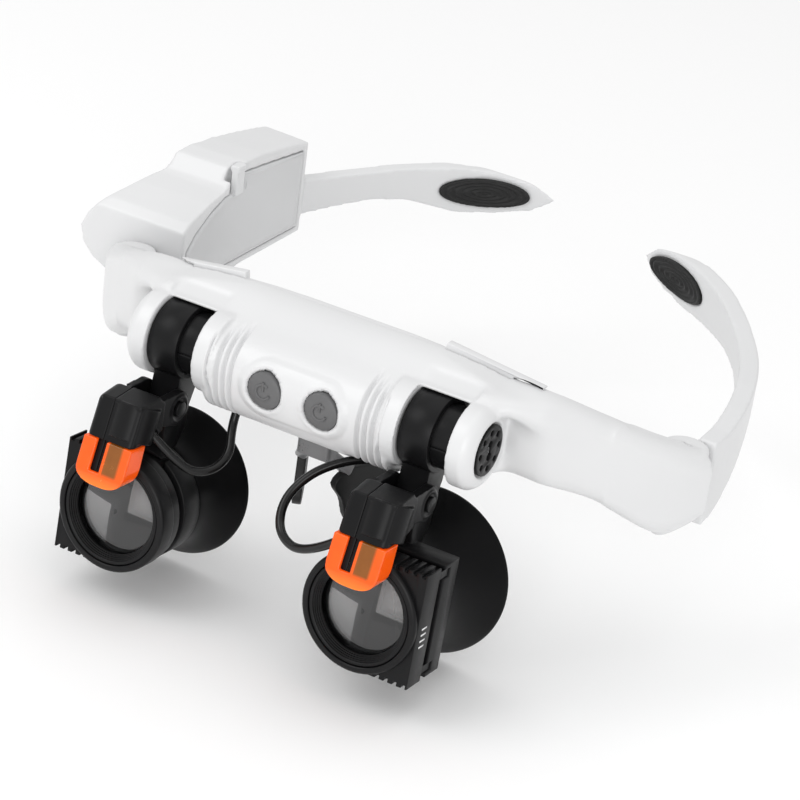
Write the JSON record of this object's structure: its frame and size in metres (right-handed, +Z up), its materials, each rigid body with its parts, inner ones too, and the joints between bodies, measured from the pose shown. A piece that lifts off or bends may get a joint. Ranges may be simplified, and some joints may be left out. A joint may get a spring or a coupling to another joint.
{
  "type": "head-worn magnifier",
  "caption": "Glasses-type head magnifier: white brow bar and curved temples carrying two flip-up loupes with tilting lamps, power buttons and a battery case.",
  "frame": {"origin": "middle of the nose seat, between the two nose pads under the brow bar", "axes": "+X to the wearer's left as seen from the front right, along the bar; +Y from the bar back along the temples; +Z up"},
  "size_m": [0.1794, 0.1853, 0.0728],
  "materials": {
    "white_shell": "satin",
    "black_plastic": "fine matte",
    "lens_glass": "polished",
    "amber_plastic": "clear amber",
    "led_white": "clear epoxy",
    "lead_jacket": "glossy",
    "grey_button": "satin",
    "black_rubber": "matte",
    "smoke_clear": "translucent",
    "steel": "bright",
    "cell_jacket": "printed sleeve, no lettering",
    "board_green": "solder mask"
  },
  "bodies": {
    "bar": {"front_shell": "white_shell", "rear_cover": "white_shell", "cover_screws": "steel", "circuit_board": "board_green", "switches": "black_plastic", "axle_l": "steel", "axle_r": "steel", "end_cap_l": "black_plastic", "end_cap_r": "black_plastic", "nose_bracket": "smoke_clear", "nose_pad_l": "black_rubber", "nose_pad_r": "black_rubber", "hinge_pins": "steel", "lead_l": "lead_jacket", "lead_r": "lead_jacket"},
    "power_button_l": {"button_l": "grey_button"},
    "power_button_r": {"button_r": "grey_button"},
    "temple_right": {"temple_r": "white_shell", "ear_pad_r": "black_rubber"},
    "temple_left": {"battery_case": "white_shell", "batteries": "cell_jacket", "contacts": "steel", "ear_pad_l": "black_rubber"},
    "door": {"battery_door": "white_shell"},
    "sleeve_l": {"sleeve_upper_l": "black_plastic", "sleeve_lower_l": "black_plastic"},
    "loupe_l": {"carrier_l": "black_plastic", "eyecup_l": "black_plastic"},
    "lens_module_l": {"module_l": "black_plastic", "lens_l": "lens_glass", "lens_ring_l": "black_plastic"},
    "lamp_l": {"lamp_shell_inner_l": "black_plastic", "lamp_shell_outer_l": "black_plastic", "lamp_cap_l": "amber_plastic", "led_l": "led_white", "lamp_screw_l": "steel"},
    "sleeve_r": {"sleeve_upper_r": "black_plastic", "sleeve_lower_r": "black_plastic"},
    "loupe_r": {"carrier_r": "black_plastic", "eyecup_r": "black_plastic"},
    "lens_module_r": {"module_r": "black_plastic", "lens_r": "lens_glass", "lens_ring_r": "black_plastic"},
    "lamp_r": {"lamp_shell_inner_r": "black_plastic", "lamp_shell_outer_r": "black_plastic", "lamp_cap_r": "amber_plastic", "led_r": "led_white", "lamp_screw_r": "steel"}
  },
  "joints": [
    {"name": "flip_l", "type": "hinge", "parent": "bar", "child": "sleeve_l", "pos_m": [-0.033, -0.014, 0.02], "axis": [-1, 0, 0], "range_deg": [-3, 90], "deforming": ["lead_l"]},
    {"name": "pupil_slide_l", "type": "slide", "parent": "sleeve_l", "child": "loupe_l", "axis": [1, 0, 0], "range_m": [0, 0.0046], "deforming": ["lead_l"]},
    {"name": "lamp_tilt_l", "type": "hinge", "parent": "loupe_l", "child": "lamp_l", "pos_m": [-0.0353, -0.02185, 0.00655], "axis": [-1, 0, 0], "range_deg": [0, 30], "deforming": ["lead_l"]},
    {"name": "module_slide_l", "type": "slide", "parent": "loupe_l", "child": "lens_module_l", "axis": [-1, 0, 0], "range_m": [0, 0.03]},
    {"name": "button_press_l", "type": "slide", "parent": "bar", "child": "power_button_l", "axis": [0, 1, 0], "range_m": [0, 0.0007], "stiffness_N_per_m": 900, "springref_m": -0.0005},
    {"name": "flip_r", "type": "hinge", "parent": "bar", "child": "sleeve_r", "pos_m": [0.033, -0.014, 0.02], "axis": [-1, 0, 0], "range_deg": [-3, 90], "deforming": ["lead_r"]},
    {"name": "pupil_slide_r", "type": "slide", "parent": "sleeve_r", "child": "loupe_r", "axis": [1, 0, 0], "range_m": [0, 0.0046], "deforming": ["lead_r"]},
    {"name": "lamp_tilt_r", "type": "hinge", "parent": "loupe_r", "child": "lamp_r", "pos_m": [0.0307, -0.02185, 0.00655], "axis": [-1, 0, 0], "range_deg": [0, 30], "deforming": ["lead_r"]},
    {"name": "module_slide_r", "type": "slide", "parent": "loupe_r", "child": "lens_module_r", "axis": [1, 0, 0], "range_m": [0, 0.03]},
    {"name": "button_press_r", "type": "slide", "parent": "bar", "child": "power_button_r", "axis": [0, 1, 0], "range_m": [0, 0.0007], "stiffness_N_per_m": 900, "springref_m": -0.0005},
    {"name": "fold_r", "type": "hinge", "parent": "bar", "child": "temple_right", "pos_m": [0.0755, 0.0255, 0.0055], "axis": [0, 0, 1], "range_deg": [0, 70]},
    {"name": "fold_l", "type": "hinge", "parent": "bar", "child": "temple_left", "pos_m": [-0.0755, 0.0255, 0.0055], "axis": [0, 0, -1], "range_deg": [0, 55]},
    {"name": "door_swing", "type": "hinge", "parent": "temple_left", "child": "door", "pos_m": [-0.0658, 0.06, 0.0079], "axis": [0, 1, 0], "range_deg": [0, 60]}
  ]
}
